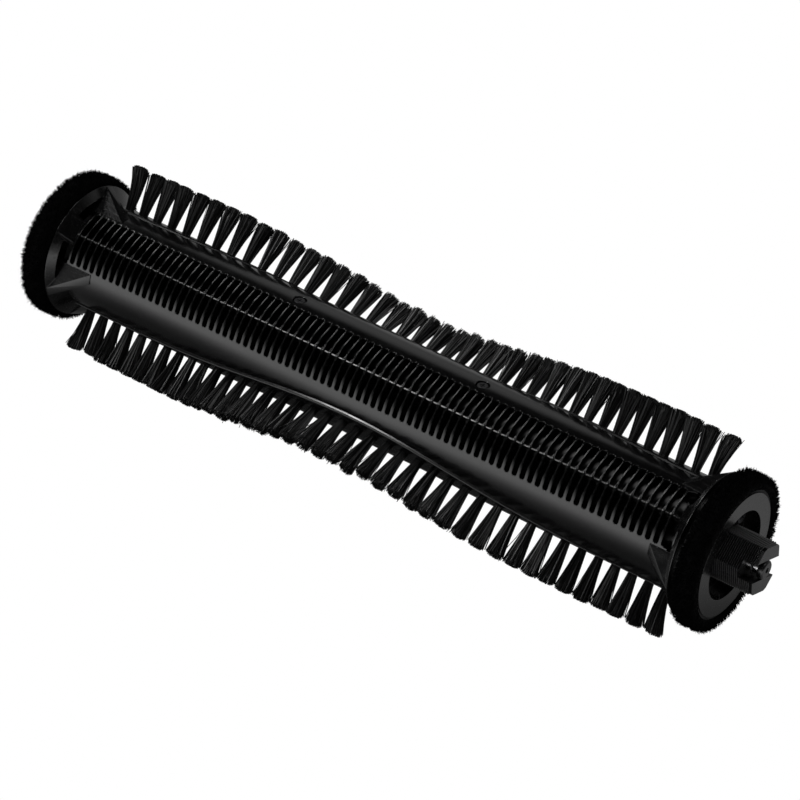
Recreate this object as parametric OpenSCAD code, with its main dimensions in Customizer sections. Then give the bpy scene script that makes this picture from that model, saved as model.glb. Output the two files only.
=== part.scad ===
// Main brush roll of an upright wet and dry floor scrubber.
// The roll's axis is X: +X points to the drive end, +Z is up.
// The origin is on the axis, halfway between the two end faces.
// Angles round the axis are measured from -Y towards +Z.

/* [Core barrel] */
// Outer radius of the slotted barrel
core_r = 15.4; // [14.5:0.1:16]
// Outer radius of the tube that the two half shells close on
tube_r = 11.2; // [10.5:0.1:11.4]
// Wall of the inner tube
tube_wall = 1.5; // [1:0.1:2]
// End of the barrel on the drive side
core_x1 = 100.5; // [99:0.1:101]
// End of the barrel on the idle side, as a distance from the middle
core_x0 = 102.7; // [102.7:0.1:103.5]

/* [Comb slots] */
// Distance between two fins
fin_pitch = 2.444; // [2.2:0.001:2.45]
// Number of fins in one comb
fin_count = 83; // [60:1:83]
// Thickness of a fin
fin_t = 0.66; // [0.5:0.01:1]
// Depth of the slots between the fins
slot_depth = 2.6; // [1.5:0.1:2.8]
// Direction of the comb's ridge
ridge_a = 55.8; // [50:0.1:60]
// Half of the comb's angle
comb_half = 32.3; // [25:0.1:34]
// How far the ridge stands above the barrel
ridge_h = 0.35; // [0:0.05:0.8]

/* [Bristle rows] */
// Number of tufts in one row
tuft_count = 40; // [20:1:40]
// Distance between two tufts along the axis
tuft_pitch = 5.07; // [4.9:0.01:5.07]
// Direction of the row at both ends of the roll
row_end_a = 128; // [124:1:132]
// Direction of the row in the middle of the roll
row_mid_a = 170; // [160:1:172]
// Radius that the bristle tips sweep
tip_r = 28.4; // [24:0.1:30]
// Radius of a tuft where it leaves the strip
tuft_r0 = 1.3; // [0.8:0.05:1.35]
// Radius of a tuft at its tip
tuft_r1 = 2.3; // [1.2:0.05:2.4]
// Width of the strip that holds a row
strip_w = 6.6; // [5:0.1:7]
// Outer radius of the strip
strip_r = 15.9; // [15.5:0.1:16.5]

/* [End discs] */
// Outer radius of the plush ring
pile_r = 22; // [20:0.1:23]
// Width of the plush ring on the drive side
pile_w = 7; // [5:0.1:7.2]
// Width of the plush ring on the idle side
pile_w2 = 7.8; // [6:0.1:7.8]
// Outer radius of the disc under the plush
rim_r = 17.6; // [17:0.1:18]
// Radius of the opening in the disc's outer face
mouth_r = 12.65; // [12.5:0.05:13]
// Outer radius of the conical lip on the roll side of a disc
lip_r = 20; // [19:0.1:20.2]
// Radius of a disc's gussets where they meet the lip
gusset_r = 17.2; // [16.6:0.1:17.4]

/* [Drive end] */
// Radius over the corners of the hexagonal plug
hex_r = 7.7; // [7:0.1:7.9]
// Distance between two ribs of the plug
rib_pitch = 0.59; // [0.5:0.01:0.7]
// Radius of the steel centre pin
pin_r = 1.8; // [1.5:0.05:2]
// Width of the slot between the two prongs
dog_slot = 5.4; // [5:0.1:6]

/* [Idle end] */
// Radius of the idle axle
axle_r = 3; // [2.5:0.05:3]
// Radius of the spigot that drops into the machine
spigot_r = 8.5; // [8:0.1:9]
// Number of balls in the bearing
ball_count = 8; // [6:1:8]

/* [Hidden] */
$fn = 96;
eps = 0.01;

shell_in = tube_r + 0.1;              // inside radius of the half shells
fin_x0 = -102.3;                      // first fin
face_d = 102.8;                       // roll side of the drive disc
face_i = -104.7;                      // roll side of the idle disc
out_d = 112.75;                       // outer face of the drive disc
out_i = -113.3;                       // outer face of the idle disc
row_mean = (row_end_a + row_mid_a)/2; // parting direction of the shells
row_half = (tuft_count - 1)/2*tuft_pitch;
tuft_root = 12.4;                     // radius of the bottom of a tuft's hole
steps = 28;                           // straight pieces in the wavy edge
bolt_r = 10.3;                        // pitch radius of the disc screws
screw_a = 100.5;                      // direction of the shell screws
screw_x = 31;                         // distance of the shell screws from the middle
plug_face = 117.8;                    // front of the hexagon, between the prongs
prong_end = 121.9;

// Direction of the bristle row at x
function row_a(x) = let(s = min(1, abs(x)/row_half))
  row_end_a + (row_mid_a - row_end_a)*(0.5 + 0.5*cos(180*s));
// Sideways offset of the row from the parting plane at x
function row_s(x) = core_r*sin(row_a(x) - row_mean);
// Stations along the row, from end to end
function stations(a, b) = [for (i = [0:steps]) a + (b - a)*i/steps];

// Turns something that points along +Z to the direction a
module dir(a) rotate([90 - a, 0, 0]) children();
// Round bar along X from x0 to x1
module bar(x0, x1, r) translate([x0, 0, 0]) rotate([0, 90, 0]) cylinder(r = r, h = x1 - x0);
module pipe(x0, x1, r, ri) difference() { bar(x0, x1, r); bar(x0 - 1, x1 + 1, ri); }
// Hexagonal bar with corners at 25, 85, 145 degrees and so on
module hexbar(x0, x1, r) rotate([5, 0, 0]) translate([x0, 0, 0]) rotate([0, 90, 0])
  cylinder(r = r, h = x1 - x0, $fn = 6);
// Cross-section in the YZ plane, as [radius, direction] points, drawn from x0 to x1
module slab(pts, x0, x1) translate([x0, 0, 0]) rotate([90, 0, 90])
  linear_extrude(x1 - x0) polygon([for (p = pts) [-p[0]*cos(p[1]), p[0]*sin(p[1])]]);
// Axial outline, as [x, height] points, t thick, standing on the direction a
module rib(pts, t, a) dir(a) rotate([90, 0, 0]) translate([0, 0, -t/2])
  linear_extrude(t) polygon(pts);

// Wavy block between the offsets lo and hi from the row's line, on the side of row a
module wavy(lo, hi, x0, x1, depth0, depth1) dir(row_mean) translate([0, 0, depth0])
  linear_extrude(depth1 - depth0) polygon(concat(
    [for (x = stations(x0, x1)) [x, row_s(x) + lo]],
    [for (x = stations(x1, x0)) [x, row_s(x) + hi]]));

// Slot floor, fins and spine of one comb
module comb_window() slab([[core_r - slot_depth, ridge_a - comb_half],
   for (a = [-comb_half + 2:4:comb_half - 2]) [core_r - slot_depth, ridge_a + a],
   [core_r - slot_depth, ridge_a + comb_half], [26, ridge_a + comb_half], [26, ridge_a - comb_half]],
   -core_x0 - 1, core_x1 + 1);
module fin(x) slab([[core_r - slot_depth - 0.5, ridge_a - comb_half - 1], [core_r, ridge_a - comb_half - 1],
   [core_r, ridge_a - comb_half + 4], [core_r + ridge_h, ridge_a - 2], [core_r + ridge_h, ridge_a + 2],
   [core_r, ridge_a + comb_half - 4], [core_r, ridge_a + comb_half + 1], [core_r - slot_depth - 0.5, ridge_a + comb_half + 1]],
   x - fin_t/2, x + fin_t/2);
module spine() slab([[core_r - slot_depth - 0.5, ridge_a - 1.8], [core_r + ridge_h - 0.25, ridge_a - 1.4],
   [core_r + ridge_h - 0.25, ridge_a + 1.4], [core_r - slot_depth - 0.5, ridge_a + 1.8]], -core_x0, core_x1);

// One half shell: the sector of the barrel between the two bristle strips
module half_shell() difference() {
  union() {
    difference() {
      intersection() {
        bar(-core_x0, core_x1, core_r);
        union() {
          wavy(-40, -strip_w/2 - 0.1, -110, 110, 0, 40);
          mirror_row(-40, -strip_w/2 - 0.1);
        }
      }
      comb_window();
    }
    for (i = [0:fin_count - 1]) fin(fin_x0 + i*fin_pitch);
    spine();
  }
  bar(-core_x0 - 1, core_x1 + 1, shell_in);
  for (s = [-1, 1]) translate([s*screw_x, 0, 0]) dir(screw_a) {
    cylinder(r = 1.15, h = 40);
    translate([0, 0, core_r - 1.25]) cylinder(r = 1.95, h = 10);
  }
}
// The same wavy block on the far side of the axis, for the opposite row
module mirror_row(lo, hi) dir(row_mean) translate([0, 0, -40])
  linear_extrude(40) polygon(concat(
    [for (x = stations(-110, 110)) [x, -row_s(x) + lo]],
    [for (x = stations(110, -110)) [x, -row_s(x) + hi]]));

module core_shell_front() color([0.05, 0.05, 0.055]) half_shell();
module core_shell_rear() color([0.05, 0.05, 0.055]) rotate([180, 0, 0]) half_shell();

// Tube inside the shells, drilled for the shell screws
module core_tube() color([0.3, 0.3, 0.32]) difference() {
  pipe(-core_x0 + 0.2, core_x1 - 0.2, tube_r, tube_r - tube_wall);
  for (f = [0, 180], s = [-1, 1]) rotate([f, 0, 0]) translate([s*screw_x, 0, 0]) dir(screw_a)
    cylinder(r = 1.05, h = 40);
}

// Four countersunk-pocket screws, two in each shell
module shell_screws() color([0.25, 0.25, 0.26])
  for (f = [0, 180], s = [-1, 1]) rotate([f, 0, 0]) translate([s*screw_x, 0, 0]) dir(screw_a)
    difference() {
      union() {
        translate([0, 0, 8.2]) cylinder(r = 1, h = core_r - 8.2 - 1);
        translate([0, 0, core_r - 1.2]) cylinder(r1 = 1.8, r2 = 1.5, h = 0.9);
      }
      for (q = [0, 90]) rotate([0, 0, q]) translate([-0.9, -0.2, core_r - 0.7]) cube([1.8, 0.4, 2]);
    }

// Strip that carries one row of tufts in blind holes
module strip() difference() {
  intersection() {
    pipe(-core_x0, core_x1, strip_r, shell_in);
    wavy(-strip_w/2, strip_w/2, -110, 110, 2, 30);
  }
  for (i = [0:tuft_count - 1]) let(x = -row_half + i*tuft_pitch)
    translate([x, 0, 0]) dir(row_a(x)) translate([0, 0, tuft_root]) cylinder(r = tuft_r0 + 0.03, h = 10);
}
module bristle_strip_a() color([0.07, 0.07, 0.075]) strip();
module bristle_strip_b() color([0.07, 0.07, 0.075]) rotate([180, 0, 0]) strip();

// One row of tufts: a straight root, a flared bundle and a trimmed tip
module tuft_row() for (i = [0:tuft_count - 1]) let(x = -row_half + i*tuft_pitch)
  translate([x, 0, 0]) dir(row_a(x)) {
    translate([0, 0, tuft_root + 0.05]) cylinder(r = tuft_r0, h = strip_r - tuft_root + 0.2);
    translate([0, 0, strip_r + 0.25]) cylinder(r1 = tuft_r0, r2 = tuft_r1, h = tip_r - 0.9 - strip_r - 0.25);
    translate([0, 0, tip_r - 0.9]) cylinder(r1 = tuft_r1, r2 = tuft_r1*0.7, h = 0.9);
  }
module tufts_a() color([0.03, 0.03, 0.03]) tuft_row();
module tufts_b() color([0.03, 0.03, 0.03]) rotate([180, 0, 0]) tuft_row();

// Plug in the end of the tube: spigot, collar, centre bore and screw pilots
module end_plug(x_end, s, bore) difference() {
  union() {
    bar(min(x_end - s*12, x_end), max(x_end - s*12, x_end), tube_r - tube_wall - 0.1);
    bar(min(x_end, x_end + s*3), max(x_end, x_end + s*3), tube_r + 2);
  }
  bar(-200, 200, bore);
  for (f = [0, 180]) rotate([f, 0, 0]) dir(row_mean) translate([0, 0, bolt_r])
    rotate([0, 90, 0]) translate([0, 0, min(x_end + s*0.5, x_end + s*5)]) cylinder(r = 1.15, h = 4.5);
}
module end_plug_drive() color([0.2, 0.2, 0.21]) end_plug(core_x1, 1, 4.05);
module end_plug_idle() color([0.2, 0.2, 0.21]) end_plug(-core_x0, -1, axle_r + 0.02);

// End disc, turned: hub, cone from the barrel's end to the lip, rim, web and outer mouth
module disc_body(face, outer, s, web0, end_x, hub_bore) rotate([0, 90, 0]) rotate_extrude() polygon([
  [hub_bore, end_x + s*3], [tube_r + 2.05, end_x + s*3], [tube_r + 2.05, end_x + s*0.05], [core_r, end_x + s*0.05],
  [17.8, face], [lip_r, face + s*1.75], [lip_r, face + s*1.95], [rim_r, face + s*1.95], [rim_r, outer],
  [mouth_r, outer], [mouth_r, web0 + s*2], [hub_bore, web0 + s*2]]);
// Window through the cone, between the directions a0 and a1: it is wide at the lip and goes down to the web
module window(face, s, web0, end_x, a0, a1) intersection() {
  union() {
    pipe(min(end_x - s, face + s*0.7), max(end_x - s, face + s*0.7), 17.7, tube_r + 2.05);
    pipe(min(face, web0), max(face, web0), 16.7, 9);
  }
  slab([[2, (a0 + a1)/2], [30, a0], [36, (a0 + a1)/2], [30, a1]], -120, 120);
}
// Slanted gusset: from its foot on the barrel it rises to the lip and leans away from the ridge.
// Directions are given below the ridge and k = -1 mirrors them to the other side of it.
module gusset(face, foot, s, web0, k) {
  m = k > 0 ? 0 : 2*ridge_a;
  // the foot is a low step and the crest rises to the lip's outer edge
  back = [[13.3, m + k*21.6], [core_r, m + k*21.6], [gusset_r - 0.1, m - k*3.4], [gusset_r + 0.1, m - k*12.2], [13.3, m - k*12.2]];
  hull() {
    slab([[14.8, m + k*21.2], [core_r + 0.25, m + k*21.2], [core_r + 0.25, m + k*10], [14.8, m + k*10]],
      min(foot, foot + s*0.1), max(foot, foot + s*0.1));
    slab([[13.3, m + k*21.6], [core_r, m + k*21.6], [lip_r - 0.15, m - k*4.2], [lip_r - 0.05, m - k*12.5], [13.3, m - k*12.5]],
      min(face + s*1.6, face + s*1.7), max(face + s*1.6, face + s*1.7));
  }
  slab(back, min(face, web0 + s*0.5), max(face, web0 + s*0.5));
}
module disc(face, outer, s, web0, foot, hub_bore) difference() {
  union() {
    difference() {
      disc_body(face, outer, s, web0, s > 0 ? core_x1 : -core_x0, hub_bore);
      for (f = [0, 180]) rotate([f, 0, 0]) {
        window(face, s, web0, s > 0 ? core_x1 : -core_x0, -12, 45);
        window(face, s, web0, s > 0 ? core_x1 : -core_x0, 69.5, 123.6);
      }
    }
    for (f = [0, 180]) rotate([f, 0, 0]) {
      dir(row_mean) translate([0, 0, bolt_r]) rotate([0, 90, 0])
        translate([0, 0, min(s > 0 ? core_x1 + 3 : -core_x0 - 3, web0)])
        cylinder(r = 2.4, h = abs(web0 - (s > 0 ? core_x1 + 3 : -core_x0 - 3)));
      difference() {
        union() {
          for (k = [1, -1]) gusset(face, foot, s, web0, k);
          // square block between the two windows, a little proud of the cone
          rib([[s > 0 ? core_x1 : -core_x0, 9.2], [s > 0 ? core_x1 : -core_x0, 15.2], [face - s*1, 16.55], [face + s*1.7, 19.75],
            [face + s*1.7, 17], [web0 + s*0.5, 16.8], [web0 + s*0.5, 9.2]], 6.4, 57.4);
        }
        // they sit on the barrel and clear the end plug's collar and the bristle strip
        bar(min(0, s > 0 ? core_x1 : -core_x0), max(0, s > 0 ? core_x1 : -core_x0), core_r + 0.02);
        bar(min(0, s*200), max(0, s*200), tube_r + 2);
        slab([[16.1, 113.4], [16.15, 119], [16.1, 126], [12, 126], [12, 113.4]],
          min(s*85, s > 0 ? core_x1 + 0.1 : -core_x0 - 0.1), max(s*85, s > 0 ? core_x1 + 0.1 : -core_x0 - 0.1));
      }
    }
  }
  bar(-200, 200, hub_bore);
  for (f = [0, 180]) rotate([f, 0, 0]) dir(row_mean) translate([0, 0, bolt_r])
    rotate([0, 90, 0]) translate([0, 0, -130]) cylinder(r = 1.35, h = 260);
}
module flange_drive() color([0.09, 0.09, 0.095]) disc(face_d, out_d, 1, 105.8, 95.6, 4.05);
module flange_idle() color([0.09, 0.09, 0.095]) disc(face_i, out_i, -1, -109.2, -93.6, axle_r + 0.05);

// Two pan-head screws through each disc into the end plug
module disc_screws(seat, s, shank) for (f = [0, 180]) rotate([f, 0, 0]) dir(row_mean) translate([0, 0, bolt_r])
  rotate([0, 90, 0]) difference() {
    union() {
      translate([0, 0, min(seat, seat + s*1.4)]) cylinder(r = 2.1, h = 1.4);
      translate([0, 0, min(seat, seat - s*shank)]) cylinder(r = 1.1, h = shank);
    }
    for (q = [0, 90]) rotate([0, 0, q]) translate([-1.2, -0.25, s > 0 ? seat + 0.6 : seat - 2.6]) cube([2.4, 0.5, 2]);
  }
module flange_screws_drive() color([0.45, 0.45, 0.47]) disc_screws(107.8, 1, 5.8);
module flange_screws_idle() color([0.45, 0.45, 0.47]) disc_screws(-111.2, -1, 7.6);

// Woven backing hoops and the plush rings glued on them
module pile_backing_drive() color([0.12, 0.12, 0.12]) pipe(105.5, out_d - 0.4, rim_r + 0.8, rim_r);
module pile_backing_idle() color([0.12, 0.12, 0.12]) pipe(out_i + 0.4, -106.8, rim_r + 0.8, rim_r);
module plush(x0, x1) rotate([0, 90, 0]) rotate_extrude() polygon([
  [rim_r + 0.8, x0 + 0.4], [rim_r + 1.4, x0], [pile_r - 1.6, x0], [pile_r - 0.5, x0 + 0.5], [pile_r, x0 + 1.6],
  [pile_r, x1 - 1.6], [pile_r - 0.5, x1 - 0.5], [pile_r - 1.6, x1], [rim_r + 1.4, x1], [rim_r + 0.8, x1 - 0.4]]);
module pile_ring_drive() color([0.02, 0.02, 0.02]) plush(out_d + 0.55 - pile_w, out_d + 0.55);
module pile_ring_idle() color([0.02, 0.02, 0.02]) plush(-106.9 - pile_w2, -106.9);

// Ribbed hexagonal plug with two prongs and a round tail in the end plug
module drive_plug() color([0.08, 0.08, 0.085]) difference() {
  union() {
    bar(91, 108, 4);
    hexbar(107.8, prong_end, hex_r - 0.35);
    for (i = [0:19]) hexbar(109.4 + i*rib_pitch, 109.4 + i*rib_pitch + rib_pitch*0.5, hex_r);
    difference() {
      hexbar(prong_end - 0.9, prong_end, hex_r);
      translate([prong_end, 0, 0]) pipe(-1.5, 0.5, 30, hex_r - 0.35);
    }
  }
  bar(80, 200, pin_r);
  // slot between the prongs, open along the direction 25 degrees
  dir(25) translate([plug_face, -dog_slot/2, -20]) cube([20, dog_slot, 40]);
}
module drive_pin() color([0.8, 0.8, 0.8]) union() {
  bar(97, 121.3, pin_r - 0.02);
}
module pin_ring() color([0.03, 0.03, 0.03]) rotate([0, 90, 0]) translate([0, 0, 118.8])
  rotate_extrude() translate([pin_r + 0.3, 0]) circle(r = 0.3, $fn = 24);
// Cap on the end of the pin, with a small centre hole
module pin_cap() color([0.03, 0.03, 0.03]) difference() {
  union() { bar(120.7, 122, 2.65); translate([122, 0, 0]) rotate([0, 90, 0]) cylinder(r1 = 2.65, r2 = 2.25, h = 0.4); }
  bar(120, 121.32, pin_r);
  bar(121, 123, 0.75);
}

// Idle end: fixed axle, felt seal, ball bearing and the cap that the machine holds
module idle_axle() color([0.75, 0.75, 0.76]) difference() {
  union() { bar(-120.6, -93.5, axle_r); translate([-121, 0, 0]) rotate([0, 90, 0]) cylinder(r1 = axle_r - 0.4, r2 = axle_r, h = 0.4); }
  pipe(-120.15, -119.65, 10, axle_r - 0.5);
}
module felt_seal() color([0.25, 0.25, 0.24]) pipe(-113.6, -111.2, 7.6, axle_r + 0.05);
module bearing_inner_race() color([0.7, 0.7, 0.71]) difference() {
  pipe(-119, -114, 4.15, axle_r + 0.01);
  rotate([0, 90, 0]) translate([0, 0, -116.5]) rotate_extrude() translate([4.75, 0]) circle(r = 1);
}
module bearing_balls() color([0.8, 0.8, 0.82]) for (i = [0:ball_count - 1])
  rotate([i*360/ball_count, 0, 0]) translate([-116.5, 0, 4.75]) sphere(r = 0.95);
module bearing_outer_race() color([0.7, 0.7, 0.71]) difference() {
  pipe(-119, -114, 6.5, 5.35);
  rotate([0, 90, 0]) translate([0, 0, -116.5]) rotate_extrude() translate([4.75, 0]) circle(r = 1);
}
module bearing_shield() color([0.6, 0.6, 0.62]) pipe(-114.45, -114.2, 5.34, 4.3);
module axle_clip() color([0.5, 0.5, 0.52]) difference() {
  pipe(-120.1, -119.7, 4.6, axle_r - 0.45);
  dir(90) translate([-121, -1.6, 0]) cube([3, 3.2, 8]);
}
module idle_cap() color([0.08, 0.08, 0.085]) difference() {
  union() {
    difference() { bar(-117, -114, 10.5); for (s = [-1, 1]) translate([-118, s*9.4 - (s < 0 ? 10 : 0), -15]) cube([5, 10, 30]); }
    bar(-121.9, -117, spigot_r);
    translate([-122.4, 0, 0]) rotate([0, 90, 0]) cylinder(r1 = spigot_r - 0.5, r2 = spigot_r, h = 0.5);
  }
  bar(-119, -110, 6.51);
  bar(-121.3, -118, 5.6);
}

core_shell_front();
core_shell_rear();
core_tube();
shell_screws();
bristle_strip_a();
bristle_strip_b();
tufts_a();
tufts_b();
end_plug_drive();
end_plug_idle();
flange_drive();
flange_idle();
pile_backing_drive();
pile_backing_idle();
pile_ring_drive();
pile_ring_idle();
flange_screws_drive();
flange_screws_idle();
drive_plug();
drive_pin();
pin_ring();
pin_cap();
idle_axle();
felt_seal();
bearing_inner_race();
bearing_balls();
bearing_outer_race();
bearing_shield();
axle_clip();
idle_cap();
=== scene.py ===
import math

import bpy
import numpy as np
from mathutils import Matrix, Vector


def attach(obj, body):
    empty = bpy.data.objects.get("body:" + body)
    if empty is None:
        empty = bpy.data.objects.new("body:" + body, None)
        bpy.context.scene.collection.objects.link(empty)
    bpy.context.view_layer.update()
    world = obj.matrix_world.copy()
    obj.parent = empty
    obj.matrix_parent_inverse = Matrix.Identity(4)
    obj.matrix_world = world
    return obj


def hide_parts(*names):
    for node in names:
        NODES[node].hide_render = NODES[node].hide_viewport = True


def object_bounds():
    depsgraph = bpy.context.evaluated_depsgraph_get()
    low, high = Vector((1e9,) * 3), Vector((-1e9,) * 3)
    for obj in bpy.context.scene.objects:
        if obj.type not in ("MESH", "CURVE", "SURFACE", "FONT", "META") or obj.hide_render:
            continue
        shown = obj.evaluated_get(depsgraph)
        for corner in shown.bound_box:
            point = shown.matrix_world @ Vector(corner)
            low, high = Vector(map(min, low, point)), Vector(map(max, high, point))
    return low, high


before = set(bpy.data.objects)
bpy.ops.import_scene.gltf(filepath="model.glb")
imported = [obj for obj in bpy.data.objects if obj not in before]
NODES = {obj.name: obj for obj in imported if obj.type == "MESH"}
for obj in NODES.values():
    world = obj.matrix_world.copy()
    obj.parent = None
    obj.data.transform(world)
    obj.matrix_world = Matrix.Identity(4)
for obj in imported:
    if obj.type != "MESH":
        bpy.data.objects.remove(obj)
CAD_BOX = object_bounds()
MM = 0.001


def plain(box):
    return [[float(c) for c in corner] for corner in box]


LOW = plain(CAD_BOX)[0]

# ---------------------------------------------------------------- camera
scene = bpy.context.scene
cam_data = bpy.data.cameras.new("camera")
cam = bpy.data.objects.new("camera", cam_data)
scene.collection.objects.link(cam)
scene.camera = cam
AZ, EL, DIST, FOCAL = math.radians(36.37), math.radians(40.13), 732.0, 2934.03
UNIT = 1.1 * MM
right = Vector((math.cos(AZ), math.sin(AZ), 0))
back = Vector((math.sin(AZ) * math.cos(EL), -math.cos(AZ) * math.cos(EL), math.sin(EL)))
up = back.cross(right)
eye = (Vector((2.49 + 2.5, 0, 0)) + up * -0.84 + back * DIST) * UNIT
cam.matrix_world = Matrix(
    (
        (right.x, up.x, back.x, eye.x),
        (right.y, up.y, back.y, eye.y),
        (right.z, up.z, back.z, eye.z),
        (0, 0, 0, 1),
    )
)
cam_data.sensor_fit = "HORIZONTAL"
cam_data.sensor_width = 36
cam_data.lens = 36 * FOCAL / 800
cam_data.clip_start, cam_data.clip_end = 0.01, 50
scene.view_settings.view_transform = "Standard"

# ---------------------------------------------------------------- geometry of the roll, mm
CORE_R, TUBE_R, X0, X1 = 15.4, 11.3, -102.7, 100.5
FIN_PITCH, FIN_N, FIN_T, FIN_X0 = 2.444, 83, 0.66, -102.3
SLOT_R = 12.0
RIDGE, COMB_HALF, RIDGE_H = 55.8, 32.3, 0.35
TUFT_N, TUFT_PITCH, ROW_END, ROW_MID = 40, 5.07, 128.0, 170.0
TIP_R, STRIP_R, STRIP_W = 28.4, 15.9, 6.6
ROW_MEAN = (ROW_END + ROW_MID) / 2
ROW_HALF = (TUFT_N - 1) / 2 * TUFT_PITCH


def row_a(x):
    s = np.minimum(1, np.abs(x) / ROW_HALF)
    return ROW_END + (ROW_MID - ROW_END) * (0.5 + 0.5 * np.cos(np.pi * s))


def row_s(x, r=CORE_R):
    return r * np.sin(np.radians(row_a(x) - ROW_MEAN))


def polar(x, r, th):
    """Points at x, radius r and direction th in degrees, measured from -Y towards +Z."""
    t = np.radians(th)
    return np.stack(np.broadcast_arrays(x, -r * np.cos(t), r * np.sin(t)), -1)


def from_row(x, s, depth):
    """Points in the frame of the rows: s sideways and depth along the mean direction."""
    a = math.radians(ROW_MEAN)
    y = s * math.sin(a) - depth * math.cos(a)
    z = s * math.cos(a) + depth * math.sin(a)
    return np.stack(np.broadcast_arrays(x, y, z), -1)


def turned(v):
    """The same points half a turn round X."""
    return v * np.array([1.0, -1.0, -1.0])


# ---------------------------------------------------------------- mesh helpers
def signed_volume(v, faces):
    total = 0.0
    for f in faces:
        a = v[f[:, 0]]
        for k in range(1, f.shape[1] - 1):
            total += np.einsum("ij,ij->i", a, np.cross(v[f[:, k]], v[f[:, k + 1]])).sum()
    return total / 6


def mesh_object(name, v, faces, body="roll", smooth=True, sharp=None, uv=None):
    """A piece from points in millimetres and lists of equal-sided faces."""
    v = np.asarray(v, float).reshape(-1, 3)
    faces = [np.asarray(f, np.int64) for f in faces if len(f)]
    if signed_volume(v, faces) < 0:
        faces = [f[:, ::-1] for f in faces]
        if uv is not None:
            uv = [u[:, ::-1] for u in uv]
    me = bpy.data.meshes.new(name)
    me.vertices.add(len(v))
    me.vertices.foreach_set("co", (v * MM).astype(np.float32).ravel())
    loops = np.concatenate([f.ravel() for f in faces]).astype(np.int32)
    sizes = np.concatenate([np.full(len(f), f.shape[1]) for f in faces])
    starts = np.concatenate([[0], np.cumsum(sizes)[:-1]]).astype(np.int32)
    me.loops.add(len(loops))
    me.loops.foreach_set("vertex_index", loops)
    me.polygons.add(len(sizes))
    me.polygons.foreach_set("loop_start", starts)
    me.polygons.foreach_set("use_smooth", np.full(len(sizes), smooth))
    if uv is not None:
        layer = me.uv_layers.new(name="OFBake")
        layer.data.foreach_set(
            "uv", np.concatenate([u.reshape(-1) for u in uv]).astype(np.float32)
        )
    me.update(calc_edges=True)
    if sharp is not None:
        me.set_sharp_from_angle(angle=math.radians(sharp))
    o = bpy.data.objects.new(name, me)
    scene.collection.objects.link(o)
    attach(o, body)
    return o


def loft(rings, caps=True):
    """Quads between closed rings: rings has the shape (stations, points, 3)."""
    n, k = rings.shape[:2]
    j, i = np.meshgrid(np.arange(n - 1), np.arange(k), indexing="ij")
    a = j * k + i
    b = j * k + (i + 1) % k
    quads = np.stack([a, b, b + k, a + k], -1).reshape(-1, 4)
    faces = [quads]
    if caps:
        faces.append(np.arange(k)[::-1][None, :])
        faces.append((np.arange(k) + (n - 1) * k)[None, :])
    return rings.reshape(-1, 3), faces


def ring_body(profile, n):
    """Closed solid of revolution round X from a closed outline of (x, r) points."""
    t = np.linspace(0, 360, n, endpoint=False)
    rings = np.stack([polar(profile[:, 0], profile[:, 1], a) for a in t])
    k = len(profile)
    j, i = np.meshgrid(np.arange(n), np.arange(k), indexing="ij")
    a = j * k + i
    b = j * k + (i + 1) % k
    c = ((j + 1) % n) * k + (i + 1) % k
    d = ((j + 1) % n) * k + i
    return rings.reshape(-1, 3), [np.stack([a, b, c, d], -1).reshape(-1, 4)]


# ---------------------------------------------------------------- half shells with the comb
def rim_r(th):
    """Outer radius of the fins: the barrel with a low rounded ridge."""
    return CORE_R + RIDGE_H * np.maximum(0, 1 - np.abs(th - RIDGE) / 9) ** 1.5


DEG = 180 / math.pi / CORE_R          # degrees of one millimetre on the barrel
RHO = 0.14                            # rounding of the fin rims
END_LO, END_HI = 0.75, 1.2            # length of the slots' rounded ends below and above the ridge


def fin_width(th):
    """Thickness of a fin at the direction th: thin above the ridge, wider and wider below it."""
    side = 0.34 + 0.5 * np.clip((RIDGE - th) / 20.8, 0, 1.15) + 0.06 * np.clip((th - RIDGE) / 30, 0, 1)
    return side + 0.48 * np.exp(-((th - RIDGE) / 2.6) ** 2)


def shell_columns():
    """(kind, x, q, f, off, wall): f is the place across a slot or None on a fin, off the drop of its rounded rim."""
    cols = [("flat", X0, 0, None, 0.16, False), ("flat", X0 + 0.05, 0, None, 0.05, False),
            ("flat", X0 + 0.16, 0, None, 0.0, False)]
    arc = np.radians([0, 30, 60, 90])
    for i in range(FIN_N):
        xc = FIN_X0 + i * FIN_PITCH
        if i:
            for p in arc:
                cols.append(("edge", xc, (-1, RHO * (1 - math.cos(p))), None, RHO * (1 - math.sin(p)), False))
        for p in arc[::-1]:
            cols.append(("edge", xc, (1, RHO * (1 - math.cos(p))), None, RHO * (1 - math.sin(p)), False))
        if i < FIN_N - 1:
            for f in (-0.97, -0.88, -0.62, 0.0, 0.62, 0.88, 0.97):
                cols.append(("slot", xc + FIN_PITCH / 2, f, f, 0.0, True))
    for f in (0.97, 0.88):
        cols.append(("edge", xc, (1, f - 1), f, 0.0, True))
    cols.append(("flat", X1 - 0.9, 0, 0.0, 0.0, True))
    cols.append(("flat", X1, 0, 0.0, 0.0, True))
    return cols


def column_x(kind, x, q, th):
    """Where the column lies at each direction th, because the fins change their thickness."""
    t = fin_width(th)
    if kind == "slot":
        return x + q * (FIN_PITCH - t) / 2
    if kind == "edge":
        return x + q[0] * (t / 2 - q[1])
    return x + 0 * th


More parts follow.
